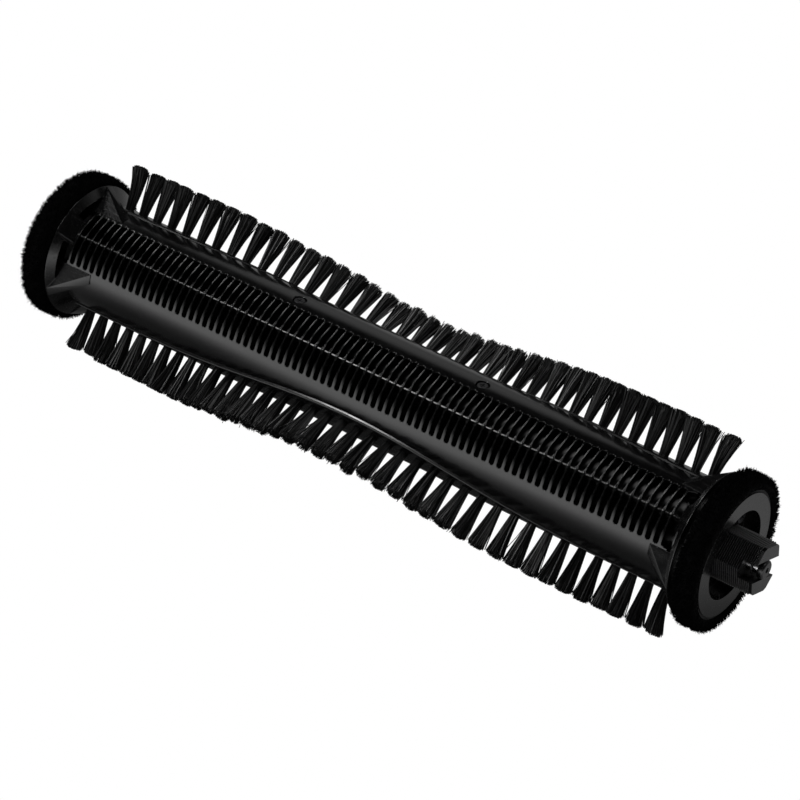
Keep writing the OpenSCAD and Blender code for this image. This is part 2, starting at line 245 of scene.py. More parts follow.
def shell_ring(kind, x, q_x, f, off, wall):
    """Closed section of one half shell at one station."""
    lo_s = (row_s(x) + 3.4) / CORE_R
    hi_s = (row_s(x) - 3.4) / CORE_R
    lo = ROW_MEAN - 180 + math.degrees(math.asin(lo_s))
    hi = ROW_MEAN + math.degrees(math.asin(hi_s))
    c0, c1 = RIDGE - COMB_HALF, RIDGE + COMB_HALF
    e = (1 - math.sqrt(1 - (1.0 if f is None else f) ** 2)) * DEG
    th, r = [], []

    def put(t, rad):
        th.append(t)
        r.append(rad)

    q = 0.28
    for p in np.radians([0, 22, 45, 68, 90]):
        put(lo + q * DEG * (1 - math.cos(p)), CORE_R - q * (1 - math.sin(p)))
    s0 = lo + q * DEG
    for u in (0.12, 0.3, 0.5, 0.7, 0.88):
        put(s0 + (c0 - 1.4 - s0) * u, CORE_R)
    put(c0 - 1.4, CORE_R)

    def comb_end(edge, sign):
        z = 0.17
        seq = [
            (edge - sign * z * DEG, 0.0, 0.0),
            (edge - sign * z * DEG * 0.5, 0.13 * z, 0.134),
            (edge - sign * z * DEG * 0.134, 0.5 * z, 0.5),
            (edge, z, 1.0),
            (edge + sign * 0.25, None, 1.0),
            (edge + sign * 0.9, None, 1.0),
        ]
        out = []
        for k, (t, drop, share) in enumerate(seq):
            rim = float(rim_r(np.array([t]))[0])
            if wall:
                if drop is None:
                    rad = SLOT_R + (0.14 if k == 4 else 0.0)
                else:
                    rad = rim - drop
            else:
                rad = rim - off * share
            out.append((t, rad))
        return out

    for t, rad in comb_end(c0 + e * END_LO, 1):
        put(t, rad)
    a, b = c0 + 6.4, RIDGE - 2.4
    for u in np.linspace(0, 1, 7):
        t = a + (b - a) * u
        put(t, SLOT_R if wall else float(rim_r(np.array([t]))[0]) - off)
    sp = CORE_R + RIDGE_H - 0.55
    for dt, rad in ((-1.85, SLOT_R + 0.05), (-1.62, sp - 0.12), (-1.35, sp - 0.02), (-0.6, sp + 0.03), (0, sp + 0.05),
                    (0.6, sp + 0.03), (1.35, sp - 0.02), (1.62, sp - 0.12), (1.85, SLOT_R + 0.05)):
        t = RIDGE + dt
        put(t, rad if wall else float(rim_r(np.array([t]))[0]) - off)
    a, b = RIDGE + 2.4, c1 - 4.6
    for u in np.linspace(0, 1, 6):
        t = a + (b - a) * u
        put(t, SLOT_R if wall else float(rim_r(np.array([t]))[0]) - off)
    for t, rad in comb_end(c1 - e * END_HI, -1)[::-1]:
        put(t, rad)
    put(c1 + 1.4, CORE_R)
    s1 = hi - q * DEG
    for u in (0.1, 0.25, 0.4, 0.55, 0.7, 0.85):
        put(c1 + 1.4 + (s1 - c1 - 1.4) * u, CORE_R)
    for p in np.radians([90, 68, 45, 22, 0]):
        put(hi - q * DEG * (1 - math.cos(p)), CORE_R - q * (1 - math.sin(p)))
    outer = polar(column_x(kind, x, q_x, np.array(th)), np.array(r), np.array(th))
    # inside face and the two parting walls
    hi_in = ROW_MEAN + math.degrees(math.asin((row_s(x) - 3.4) / TUBE_R))
    lo_in = ROW_MEAN - 180 + math.degrees(math.asin((row_s(x) + 3.4) / TUBE_R))
    t_in = np.linspace(hi_in, lo_in, 9)
    inner = polar(column_x(kind, x, q_x, np.full(9, RIDGE)), TUBE_R, t_in)
    return np.concatenate([outer, inner])


def build_shell(name, flip):
    rings = np.stack([shell_ring(*c) for c in shell_columns()])
    if flip:
        rings = turned(rings)
    v, faces = loft(rings)
    o = mesh_object(name, v, faces, sharp=38)
    # countersunk pockets for the shell screws
    cut = []
    for sx in (-31.0, 31.0):
        prof = np.array([(0, 0), (1.95, 0), (1.95, 1.05), (2.3, 1.42), (2.3, 5), (0, 5)], float)
        n = 40
        ang = np.linspace(0, 2 * math.pi, n, endpoint=False)
        pts = []
        for rad, h in prof[1:-1]:
            pts.append(np.stack([rad * np.cos(ang), rad * np.sin(ang), np.full(n, h)], -1))
        pts = np.stack(pts)
        a = math.radians(100.5)
        p = pts.reshape(-1, 3)
        yy, zz = p[:, 1], p[:, 2] + CORE_R - 1.25
        w = np.stack([p[:, 0] + sx, yy * math.sin(a) - zz * math.cos(a), yy * math.cos(a) + zz * math.sin(a)], -1)
        if flip:
            w = turned(w)
        cut.append(loft(w.reshape(pts.shape)))
    base = 0
    vs, fs = [], []
    for cv, cf in cut:
        vs.append(cv)
        fs += [f + base for f in cf]
        base += len(cv)
    c = mesh_object(name + "_cutter", np.concatenate(vs), fs)
    m = o.modifiers.new("pockets", "BOOLEAN")
    m.operation, m.solver, m.object = "DIFFERENCE", "MANIFOLD", c
    bpy.context.view_layer.update()
    dg = bpy.context.evaluated_depsgraph_get()
    me = bpy.data.meshes.new_from_object(o.evaluated_get(dg))
    if len(me.polygons) > 1000:
        o.modifiers.clear()
        o.data = me
        me.set_sharp_from_angle(angle=math.radians(38))
        for p in me.polygons:
            p.use_smooth = True
    else:
        o.modifiers.clear()
        print("POCKETS FAILED", name)
    bpy.data.objects.remove(c)
    return o


# ---------------------------------------------------------------- bristle strips
def build_strip(name, flip):
    xs = np.arange(X0, X1 + 0.001, 0.3)
    xs = np.append(xs[:-1], X1)
    w, q = STRIP_W / 2, 0.3
    arc = np.radians([0, 22, 45, 68, 90])
    s_top = list(-w + q * (1 - np.cos(arc)))
    d_top = list(q * (1 - np.sin(arc)))
    mid = np.linspace(-w + q, w - q, 25)[1:-1]
    s_off = np.array(s_top + list(mid) + [-s for s in s_top[::-1]])
    drop = np.array(d_top + [0.0] * len(mid) + d_top[::-1])
    tx = -ROW_HALF + np.arange(TUFT_N) * TUFT_PITCH
    rings = []
    for x in xs:
        s = row_s(x) + s_off
        near = tx[np.argmin(np.abs(tx - x))]
        dist = np.hypot(x - near, s - row_s(near, STRIP_R))
        t = np.clip((1.62 - dist) / 0.3, 0, 1)
        t = t * t * (3 - 2 * t)
        r = STRIP_R - drop - 0.12 * t
        top = from_row(x, s, np.sqrt(r * r - s * s))
        side = row_s(x) + np.array([w, w * 0.5, 0, -w * 0.5, -w])
        low = from_row(x, side, np.sqrt(11.35**2 - side**2))
        ring = np.concatenate([top, low])
        rings.append(ring)
    rings = np.stack(rings)
    if flip:
        rings = turned(rings)
    v, faces = loft(rings)
    return mesh_object(name, v, faces, sharp=50)


# ---------------------------------------------------------------- fibres
def fibre_mesh(centres, radii, rng, sides=3, tip=None):
    """Closed tapered prisms. centres has the shape (fibres, rings, 3), radii (fibres, rings)."""
    n, k = centres.shape[:2]
    along = centres[:, -1] - centres[:, 0]
    along /= np.linalg.norm(along, axis=1, keepdims=True)
    ref = rng.normal(size=(n, 3))
    a = np.cross(along, ref)
    a /= np.linalg.norm(a, axis=1, keepdims=True)
    b = np.cross(along, a)
    ang = np.arange(sides) * 2 * math.pi / sides
    off = a[:, None, :] * np.cos(ang)[None, :, None] + b[:, None, :] * np.sin(ang)[None, :, None]
    v = centres[:, :, None, :] + off[:, None, :, :] * radii[:, :, None, None]
    per = k * sides
    j, i = np.meshgrid(np.arange(k - 1), np.arange(sides), indexing="ij")
    q = np.stack([j * sides + i, j * sides + (i + 1) % sides, (j + 1) * sides + (i + 1) % sides, (j + 1) * sides + i], -1).reshape(-1, 4)
    base = (np.arange(n) * per)[:, None, None]
    quads = (q[None] + base).reshape(-1, 4)
    lo = (np.arange(sides)[::-1][None, None] + base).reshape(-1, sides)
    hi = ((np.arange(sides) + (k - 1) * sides)[None, None] + base).reshape(-1, sides)
    # one thin cell of the texture square for each fibre
    side_n = int(math.ceil(math.sqrt(n)))
    cell = 1.0 / side_n
    cx, cy = (np.arange(n) % side_n) * cell, (np.arange(n) // side_n) * cell
    uq = np.stack([
        np.stack([(i.ravel() + 0.08) / sides, (j.ravel() + 0.1) / (k - 1)], -1),
        np.stack([(i.ravel() + 0.92) / sides, (j.ravel() + 0.1) / (k - 1)], -1),
        np.stack([(i.ravel() + 0.92) / sides, (j.ravel() + 0.9) / (k - 1)], -1),
        np.stack([(i.ravel() + 0.08) / sides, (j.ravel() + 0.9) / (k - 1)], -1),
    ], 1)
    origin = np.stack([cx, cy], -1)
    uquads = (origin[:, None, None, :] + uq[None] * cell * 0.9 + cell * 0.05).reshape(-1, 4, 2)
    tri = np.stack([np.cos(ang), np.sin(ang)], -1) * 0.04 + 0.5
    ulo = (origin[:, None, :] + (tri[::-1][None] - [0, 0.42]) * cell).reshape(-1, sides, 2)
    uhi = (origin[:, None, :] + (tri[None] + [0, 0.42]) * cell).reshape(-1, sides, 2)
    return v.reshape(-1, 3), [quads, lo, hi], [uquads, ulo, uhi]


def disc_points(n, rng):
    """Evenly spread points in a unit disc, a little shaken."""
    k = np.arange(n) + 0.5
    r = np.sqrt(k / n)
    t = k * math.pi * (3 - math.sqrt(5)) + rng.uniform(0, 6.28)
    r = np.clip(r + rng.normal(0, 0.03, n), 0, 1.04)
    return r * np.cos(t), r * np.sin(t), r


def build_tufts(name, flip, seed):
    rng = np.random.default_rng(seed)
    nf = 182
    levels = np.array([15.45, 17.2, 20.6, 24.4, 1.0])
    cen, rad = [], []
    shade_core_v, shade_core_f, base = [], [], 0
    for i in range(TUFT_N):
        x = -ROW_HALF + i * TUFT_PITCH
        a = math.radians(float(row_a(x)))
        axis = np.array([0, -math.cos(a), math.sin(a)])
        side = np.array([0, math.sin(a), math.cos(a)])
        u, w, r = disc_points(nf, rng)
        edge = x / ROW_HALF
        lean = 0.22 * rng.normal() + 1.3 * math.copysign(max(0, abs(edge) - 0.94) / 0.06, edge)
        lean_w = 0.3 * rng.normal()
        tip_r = TIP_R + 0.08 - 1.0 * r**4 - np.abs(rng.normal(0, 0.13, nf)) + 0.12 * rng.normal()
        squash = rng.uniform(0.94, 1.06)
        clump = rng.normal(0, 1, (6, 2))
        pick = rng.integers(0, 6, nf)
        stray = rng.uniform(size=nf) < 0.035
        amp = np.where(stray, 0.75, 0.16)
        du, dw = rng.normal(0, 1, nf) * amp, rng.normal(0, 1, nf) * amp
        pts = np.zeros((nf, 5, 3))
        for k, lv in enumerate(levels):
            rr = tip_r if k == 4 else np.full(nf, lv)
            h = (rr - STRIP_R) / (27.5 - STRIP_R)
            g = 1.2 + 1.33 * np.clip(h, 0.0, 1.1) ** 1.05 if k else np.full(nf, 1.17)
            h2 = np.clip(h, 0, 1.1) ** 2
            uu = u * g * squash + lean * h2 + du * h2 + clump[pick, 0] * 0.16 * h2
            ww = w * g / squash + lean_w * h2 + dw * h2 + clump[pick, 1] * 0.16 * h2
            pts[:, k] = np.array([x, 0, 0]) + uu[:, None] * np.array([1, 0, 0]) + ww[:, None] * side + rr[:, None] * axis
        cen.append(pts)
        fr = rng.uniform(0.11, 0.14, nf)
        rad.append(fr[:, None] * np.array([1.0, 1.0, 1.0, 0.98, 0.8])[None])
        # dark heart of the bundle: a solid core that stands in for the inner fibres and puts painted shade inside the
        # bundle
        n = 12
        t = np.linspace(0, 2 * math.pi, n, endpoint=False)
        rings = []
        for rr, gg in ((15.4, 0.95), (17.0, 1.05), (21.0, 1.38), (25.0, 1.75), (26.7, 1.7), (27.4, 0.8)):
            h2 = max(0, (rr - STRIP_R) / (27.5 - STRIP_R)) ** 2
            uu, ww = gg * np.cos(t) + lean * h2, gg * np.sin(t) + lean_w * h2
            rings.append(np.array([x, 0, 0]) + uu[:, None] * np.array([1, 0, 0]) + ww[:, None] * side + rr * axis)
        cv, cf = loft(np.stack(rings))
        shade_core_v.append(cv)
        shade_core_f.append([f + base for f in cf])
        base += len(cv)
    v, faces, uv = fibre_mesh(np.concatenate(cen), np.concatenate(rad), rng)
    cv = np.concatenate(shade_core_v)
    if flip:
        v, cv = turned(v), turned(cv)
    o = mesh_object(name, v, faces, smooth=False, uv=uv)
    c = mesh_object(name + "_shade_hearts", cv, [np.concatenate([f[k] for f in shade_core_f]) for k in range(3)], smooth=True)
    return o, c


def build_plush(name, x0, x1, seed):
    """Inner mass and fibres of one plush ring."""
    rng = np.random.default_rng(seed)
    xc, hw = (x0 + x1) / 2, (x1 - x0) / 2
    # inner mass
    prof = []
    for px, pr in ((-0.88, 18.42), (-0.93, 19.2), (-0.92, 20.2), (-0.82, 20.85), (-0.6, 21.15), (-0.2, 21.25), (0.2, 21.25),
                   (0.6, 21.15), (0.82, 20.85), (0.92, 20.2), (0.93, 19.2), (0.88, 18.42)):
        prof.append((xc + px * hw, pr))
    prof = np.array(prof)
    n = 360
    v, faces = ring_body(prof, n)
    rad = np.hypot(v[:, 1], v[:, 2])
    shake = 1 + np.where(rad > 19, 1, 0) * rng.normal(0, 0.0045, len(v))
    v = v * np.stack([np.ones(len(v)), shake, shake], -1)
    mass = mesh_object(name + "_mass", v, faces, smooth=True)
    # fibres of the tread
    n1 = 10500
    t = rng.uniform(-1, 1, n1)
    ang = rng.uniform(0, 360, n1)
    edge = np.clip((np.abs(t) - 0.62) / 0.38, 0, 1)
    rt = 22.2 - 1.2 * edge**2 + rng.normal(-0.1, 0.24, n1)
    xr = xc + t * (hw - 0.7)
    xt = xc + np.sign(t) * np.abs(t) ** 0.85 * (hw + 0.08) + rng.normal(0, 0.22, n1)
    da = rng.normal(0, 0.55, n1) + 0.35
    root = polar(xr, 18.9, ang)
    mid = polar(xr * 0.55 + xt * 0.45, 18.9 * 0.42 + rt * 0.58, ang + da * 0.4)
    tip = polar(xt, rt, ang + da)
    # fibres of the two side faces
    n2 = 2600
    s = np.where(rng.uniform(size=n2) < 0.5, -1.0, 1.0)
    r0 = rng.uniform(18.35, 21.0, n2)
    ang2 = rng.uniform(0, 360, n2)
    da2 = rng.normal(0, 1.3, n2)
    x_in = xc + s * (hw - 0.75)
    out = xc + s * (hw + rng.normal(0.02, 0.12, n2) - 0.35 * np.clip((r0 - 19.6) / 1.4, 0, 1))
    r1 = np.minimum(r0 + rng.uniform(0.35, 0.9, n2), 21.6)
    root2 = polar(x_in, r0, ang2)
    mid2 = polar((x_in + out) / 2 + s * 0.12, r0 * 0.6 + r1 * 0.4, ang2 + da2 * 0.5)
    tip2 = polar(out, r1, ang2 + da2)
    cen = np.stack([np.concatenate([root, root2]), np.concatenate([mid, mid2]), np.concatenate([tip, tip2])], 1)
    fr = rng.uniform(0.075, 0.105, n1 + n2)
    v, faces, uv = fibre_mesh(cen, fr[:, None] * np.array([1.0, 1.0, 0.55])[None], rng)
    fib = mesh_object(name, v, faces, smooth=False, uv=uv)
    return fib, mass


def build_plug_ribs():
    """Rounded tops of the ribs on the six sides of the drive plug, open at the slot between the prongs."""
    prof = [(-0.15, -0.22), (-0.145, -0.05), (-0.11, 0.05), (0.0, 0.09), (0.11, 0.05), (0.145, -0.05), (0.15, -0.22)]
    vs, fs, base = [], [], 0
    for i in range(20):
        xc = 109.4 + (i + 0.25) * 0.59
        for k in range(6):
            a0 = 25 + 60 * k
            p0, p1 = polar(0.0, 7.7, a0), polar(0.0, 7.7, a0 + 60)
            out = polar(0.0, 1.0, a0 + 30)
            t0, t1 = 0.0, 1.0
            if xc > 117.6:
                cut = (2.7 + 0.05) / math.sin(math.radians(60)) / 7.7
                if k in (0, 3):
                    t0 = cut
                if k in (5, 2):
                    t1 = 1 - cut
            rings = []
            for t in (t0, t1):
                c = p0 + (p1 - p0) * t
                rings.append(np.array([c + np.array([xc + dx, 0, 0]) + out * h for dx, h in prof]))
            v, f = loft(np.stack(rings))
            vs.append(v)
            fs.append([g + base for g in f])
            base += len(v)
    return mesh_object("plug_ribs", np.concatenate(vs), [np.concatenate([f[j] for f in fs]) for j in range(3)], sharp=60)


# ---------------------------------------------------------------- materials
def material(name):
    m = bpy.data.materials.new(name)
    m.use_nodes = True
    nt = m.node_tree
    p = nt.nodes["Principled BSDF"]
    return m, nt, p


def coords(nt, scale=(1, 1, 1)):
    tc = nt.nodes.new("ShaderNodeTexCoord")
    if scale == (1, 1, 1):
        return tc.outputs["Object"]
    mp = nt.nodes.new("ShaderNodeMapping")
    mp.inputs["Scale"].default_value = scale
    nt.links.new(tc.outputs["Object"], mp.inputs["Vector"])
    return mp.outputs["Vector"]


def noise(nt, vec, scale, detail=3.0, rough=0.5, distortion=0.0):
    n = nt.nodes.new("ShaderNodeTexNoise")
    n.inputs["Scale"].default_value = scale
    n.inputs["Detail"].default_value = detail
    n.inputs["Roughness"].default_value = rough
    n.inputs["Distortion"].default_value = distortion
    nt.links.new(vec, n.inputs["Vector"])
    return n.outputs["Fac"]


def ramp(nt, fac, stops):
    r = nt.nodes.new("ShaderNodeValToRGB")
    els = r.color_ramp.elements
    while len(els) < len(stops):
        els.new(0.5)
    for e, (pos, col) in zip(els, stops):
        e.position = pos
        e.color = (col, col, col, 1) if not hasattr(col, "__len__") else (*col, 1)
    nt.links.new(fac, r.inputs["Fac"])
    return r.outputs["Color"]


def spread(nt, fac, lo, hi, a=0.3, b=0.7):
    mr = nt.nodes.new("ShaderNodeMapRange")
    mr.inputs["From Min"].default_value = a
    mr.inputs["From Max"].default_value = b
    mr.inputs["To Min"].default_value = lo
    mr.inputs["To Max"].default_value = hi
    nt.links.new(fac, mr.inputs["Value"])
    return mr.outputs["Result"]


def math_node(nt, op, a, b):
    n = nt.nodes.new("ShaderNodeMath")
    n.operation = op
    for i, v in enumerate((a, b)):
        if isinstance(v, (int, float)):
            n.inputs[i].default_value = v
        else:
            nt.links.new(v, n.inputs[i])
    return n.outputs["Value"]


def bump(nt, p, height, strength, distance):
    b = nt.nodes.new("ShaderNodeBump")
    b.inputs["Strength"].default_value = strength
    b.inputs["Distance"].default_value = distance
    nt.links.new(height, b.inputs["Height"])
    nt.links.new(b.outputs["Normal"], p.inputs["Normal"])


def tint(c, k):
    return tuple(min(1, x * k) for x in c)


def plastic(name, colour, rough, grain=0.06, wear=0.35, ior=1.5, spec=0.5, slot_shade=False):
    """Moulded plastic: faint mottling, fine moulded grain, handling marks and lighter worn edges; on request, painted
    shade on the floors and walls of the comb's slots.
    """
    m, nt, p = material(name)
    vec = coords(nt)
    broad = noise(nt, vec, 160, 4, 0.55)
    fine = noise(nt, vec, 5200, 2, 0.5)
    rub = noise(nt, coords(nt, (0.25, 1, 1)), 900, 5, 0.65, 0.4)
    base = ramp(nt, broad, [(0.25, tint(colour, 0.82)), (0.75, tint(colour, 1.2))])
    geo = nt.nodes.new("ShaderNodeNewGeometry")
    edge = spread(nt, geo.outputs["Pointiness"], 0.0, wear, 0.52, 0.6)
    mixed = nt.nodes.new("ShaderNodeMix")
    mixed.data_type = "RGBA"
    nt.links.new(math_node(nt, "MULTIPLY", edge, rub), mixed.inputs["Factor"])
    nt.links.new(base, mixed.inputs[6])
    mixed.inputs[7].default_value = (*tint(colour, 2.6), 1)
    r1 = spread(nt, rub, rough - 0.05, rough + 0.07)
    r2 = spread(nt, fine, -0.03, 0.03)
    gloss = math_node(nt, "ADD", r1, r2)
    if slot_shade:
        # painted shade: the colour is darkened on the floors and walls of the comb's slots, below the rims, where
        # shadow falls
        sp = nt.nodes.new("ShaderNodeSeparateXYZ")
        nt.links.new(vec, sp.inputs["Vector"])
        rad = math_node(nt, "SQRT", math_node(nt, "ADD", math_node(nt, "MULTIPLY", sp.outputs["Y"], sp.outputs["Y"]),
                                              math_node(nt, "MULTIPLY", sp.outputs["Z"], sp.outputs["Z"])), 0)
        slot_shade_mask = spread(nt, rad, 1.0, 0.0, 0.0146, 0.0151)
        slot_shade_mix = nt.nodes.new("ShaderNodeMix")
        slot_shade_mix.data_type = "RGBA"
        nt.links.new(slot_shade_mask, slot_shade_mix.inputs["Factor"])
        nt.links.new(mixed.outputs[2], slot_shade_mix.inputs[6])
        slot_shade_mix.inputs[7].default_value = (*tint(colour, 0.3), 1)
        mixed = slot_shade_mix
    nt.links.new(mixed.outputs[2], p.inputs["Base Color"])
    nt.links.new(gloss, p.inputs["Roughness"])
    p.inputs["IOR"].default_value = ior
    p.inputs["Specular IOR Level"].default_value = spec
    bump(nt, p, fine, grain, 0.00003)
    return m


def metal(name, colour, rough, lines=(1, 1, 1), scale=3000, strength=0.05):
    """Machined or drawn metal with fine tool lines."""
    m, nt, p = material(name)
    p.inputs["Metallic"].default_value = 1.0
    grain = noise(nt, coords(nt, lines), scale, 3, 0.6)
    broad = noise(nt, coords(nt), 420, 3, 0.5)
    base = ramp(nt, broad, [(0.3, tint(colour, 0.86)), (0.7, tint(colour, 1.08))])
    nt.links.new(base, p.inputs["Base Color"])
    nt.links.new(spread(nt, grain, rough - 0.06, rough + 0.1), p.inputs["Roughness"])
    bump(nt, p, grain, strength, 0.00002)
    return m


def fibre(name, colour, rough, sheen=0.0, scale=700, spec=0.5):
    """Fibres: each patch of the bundle a little lighter or darker."""
    m, nt, p = material(name)
    patch = noise(nt, coords(nt), scale, 3, 0.6)
    base = ramp(nt, patch, [(0.3, tint(colour, 0.55)), (0.7, tint(colour, 1.6))])
    nt.links.new(base, p.inputs["Base Color"])
    nt.links.new(spread(nt, noise(nt, coords(nt), scale * 3, 2), rough - 0.08, rough + 0.1), p.inputs["Roughness"])
    p.inputs["Specular IOR Level"].default_value = spec
    if sheen:
        p.inputs["Sheen Weight"].default_value = sheen
        p.inputs["Sheen Roughness"].default_value = 0.5
    return m


BLACK = (0.0014, 0.0014, 0.0015)
M = {}
# the comb's plastic carries painted shade in its slots
M["core_plastic"] = plastic("core_plastic", BLACK, 0.17, 0.04, 0.3, slot_shade=True)
M["strip_plastic"] = plastic("strip_plastic", (0.0014, 0.0014, 0.0015), 0.24, 0.05, 0.3)
M["disc_plastic"] = plastic("disc_plastic", (0.0013, 0.0013, 0.0014), 0.22, 0.06, 0.0)
M["plug_plastic"] = plastic("plug_plastic", (0.012, 0.012, 0.0122), 0.3, 0.06, 0.3, spec=0.9)
M["plug_shaded_grooves"] = plastic("plug_shaded_grooves", (0.003, 0.003, 0.0031), 0.3, 0.06, 0.0)
# painted shade: a darker copy of the plug plastic for the drive plug's body, whose reflection is also weakened on
# faces not turned to +X, so the grooves between the ribs are dull and the flat ends of the prongs are not
nt = M["plug_shaded_grooves"].node_tree
sp = nt.nodes.new("ShaderNodeSeparateXYZ")
nt.links.new(nt.nodes.new("ShaderNodeNewGeometry").outputs["Normal"], sp.inputs["Vector"])
nt.links.new(spread(nt, sp.outputs["X"], 0.1, 0.5, 0.4, 0.6), nt.nodes["Principled BSDF"].inputs["Specular IOR Level"])
M["cap_plastic"] = plastic("cap_plastic", (0.003, 0.003, 0.0031), 0.3, 0.08, 0.3)
M["nylon_bristle"] = fibre("nylon_bristle", (0.0026, 0.0026, 0.0027), 0.4, 0.0, 2400, 0.36)
M["plush_pile"] = fibre("plush_pile", (0.0009, 0.0009, 0.001), 0.9, 0.0, 1800, 0.05)
M["steel_pin"] = metal("steel_pin", (0.72, 0.72, 0.73), 0.2, (1, 0.1, 0.1), 9000)
M["bearing_steel"] = metal("bearing_steel", (0.66, 0.66, 0.68), 0.22, (1, 0.1, 0.1), 7000)
M["spring_steel"] = metal("spring_steel", (0.36, 0.35, 0.35), 0.36)
M["zinc_screw"] = metal("zinc_screw", (0.06, 0.06, 0.065), 0.34, scale=1800)
M["black_screw"] = metal("black_screw", (0.05, 0.05, 0.052), 0.4, scale=2500)
M["tube_aluminium"] = metal("tube_aluminium", (0.6, 0.61, 0.62), 0.36, (0.05, 1, 1), 6000)

# rubber ring: dull, faint moulding bloom
m, nt, p = material("black_rubber")
bloom = noise(nt, coords(nt), 1600, 4, 0.6)
nt.links.new(ramp(nt, bloom, [(0.3, 0.008), (0.7, 0.016)]), p.inputs["Base Color"])
nt.links.new(spread(nt, bloom, 0.55, 0.75), p.inputs["Roughness"])
bump(nt, p, noise(nt, coords(nt), 9000, 2), 0.15, 0.00003)
M["black_rubber"] = m

# pressed felt: short tangled hairs
m, nt, p = material("grey_felt")
vec = coords(nt)
hair = noise(nt, coords(nt, (1, 3, 1)), 3200, 5, 0.7, 1.2)
nt.links.new(ramp(nt, hair, [(0.3, 0.035), (0.55, 0.075), (0.8, 0.16)]), p.inputs["Base Color"])
p.inputs["Roughness"].default_value = 0.95
p.inputs["Sheen Weight"].default_value = 0.4
bump(nt, p, hair, 0.7, 0.0002)
M["grey_felt"] = m

# woven backing hoop: crossing yarns round the hoop and along it
m, nt, p = material("woven_backing")
vec = coords(nt)
sep = nt.nodes.new("ShaderNodeSeparateXYZ")
nt.links.new(vec, sep.inputs["Vector"])
turn = math_node(nt, "ARCTAN2", sep.outputs["Z"], sep.outputs["Y"])
weft = math_node(nt, "SINE", math_node(nt, "MULTIPLY", turn, 180), 0)
warp = math_node(nt, "SINE", math_node(nt, "MULTIPLY", sep.outputs["X"], 9000), 0)
cloth = math_node(nt, "MULTIPLY", weft, warp)
nt.links.new(ramp(nt, spread(nt, cloth, 0, 1, -1, 1), [(0.1, 0.008), (0.9, 0.03)]), p.inputs["Base Color"])
p.inputs["Roughness"].default_value = 0.85
bump(nt, p, cloth, 0.5, 0.0001)
M["woven_backing"] = m


def dress(obj, slot_name):
    obj.data.materials.clear()
    obj.data.materials.append(M[slot_name])


CAD_SLOT = {
    "core_tube": "tube_aluminium", "shell_screws": "black_screw",
    "end_plug_drive": "plug_plastic", "end_plug_idle": "plug_plastic",
    "flange_drive": "disc_plastic", "flange_idle": "disc_plastic",
    "pile_backing_drive": "woven_backing", "pile_backing_idle": "woven_backing",
    "flange_screws_drive": "zinc_screw", "flange_screws_idle": "zinc_screw",
    # the drive plug's body takes the darker copy of the plug plastic, with painted shade in its grooves
    "drive_plug": "plug_shaded_grooves", "drive_pin": "steel_pin", "pin_ring": "black_rubber", "pin_cap": "cap_plastic",
    "idle_axle": "steel_pin", "felt_seal": "grey_felt",
    "bearing_inner_race": "bearing_steel", "bearing_balls": "bearing_steel",
    "bearing_outer_race": "bearing_steel", "bearing_shield": "bearing_steel",
    "axle_clip": "spring_steel", "idle_cap": "cap_plastic",
}
ROUND = {  # radius of the softened edges, mm
    "end_plug_drive": 0.2, "end_plug_idle": 0.2, "flange_drive": 0.07, "flange_idle": 0.07,
    "pin_cap": 0.12, "idle_cap": 0.25, "shell_screws": 0.08,
    "flange_screws_drive": 0.1, "flange_screws_idle": 0.1, "drive_pin": 0.15,
    "bearing_inner_race": 0.08, "bearing_outer_race": 0.12, "axle_clip": 0.06,
}
for node, slot_name in CAD_SLOT.items():
    o = NODES[node]
    for i in range(len(o.material_slots)):
        o.material_slots[i].link = "OBJECT"
        o.material_slots[i].material = M[slot_name]
    if node in ROUND:
        w = o.modifiers.new("weld", "WELD")
        w.merge_threshold = 2e-6
        d = o.modifiers.new("flats", "DECIMATE")
        d.decimate_type, d.angle_limit = "DISSOLVE", math.radians(0.7)
        b = o.modifiers.new("edges", "BEVEL")
        b.width, b.segments, b.limit_method, b.angle_limit = ROUND[node] * MM, 2, "ANGLE", math.radians(34)
        b.use_clamp_overlap = False
        b.miter_outer = "MITER_ARC"
        n = o.modifiers.new("normals", "WEIGHTED_NORMAL")
        n.keep_sharp = False

NODES["drive_plug"].modifiers.new("crisp", "EDGE_SPLIT").split_angle = math.radians(25)

# ---------------------------------------------------------------- pieces
for tag, flip in (("front", False), ("rear", True)):
    o = build_shell("comb_shell_" + tag, flip)
    dress(o, "core_plastic")
    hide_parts("core_shell_" + tag)
for tag, flip, seed in (("a", False, 11), ("b", True, 12)):
    o = build_strip("strip_" + tag, flip)
    dress(o, "strip_plastic")
    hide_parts("bristle_strip_" + tag)
    o, c = build_tufts("bristles_" + tag, flip, seed)
    for q in (o, c):
        dress(q, "nylon_bristle")
    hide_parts("tufts_" + tag)
for tag, x0, x1, seed in (("drive", 106.3, 113.3, 21), ("idle", -114.7, -106.9, 22)):
    o, c = build_plush("plush_" + tag, x0, x1, seed)
    for q in (o, c):
        dress(q, "plush_pile")
    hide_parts("pile_ring_" + tag)

o = build_plug_ribs()
dress(o, "plug_plastic")

# ---------------------------------------------------------------- floor, light
me = bpy.data.meshes.new("floor")
z = LOW[2] - 0.0002
me.from_pydata([(-4, -4, z), (4, -4, z), (4, 4, z), (-4, 4, z)], [], [(0, 1, 2, 3)])
floor = bpy.data.objects.new("floor", me)
scene.collection.objects.link(floor)
m, nt, p = material("floor_white")
nt.nodes.remove(p)
em = nt.nodes.new("ShaderNodeEmission")
nt.links.new(em.outputs["Emission"], nt.nodes["Material Output"].inputs["Surface"])
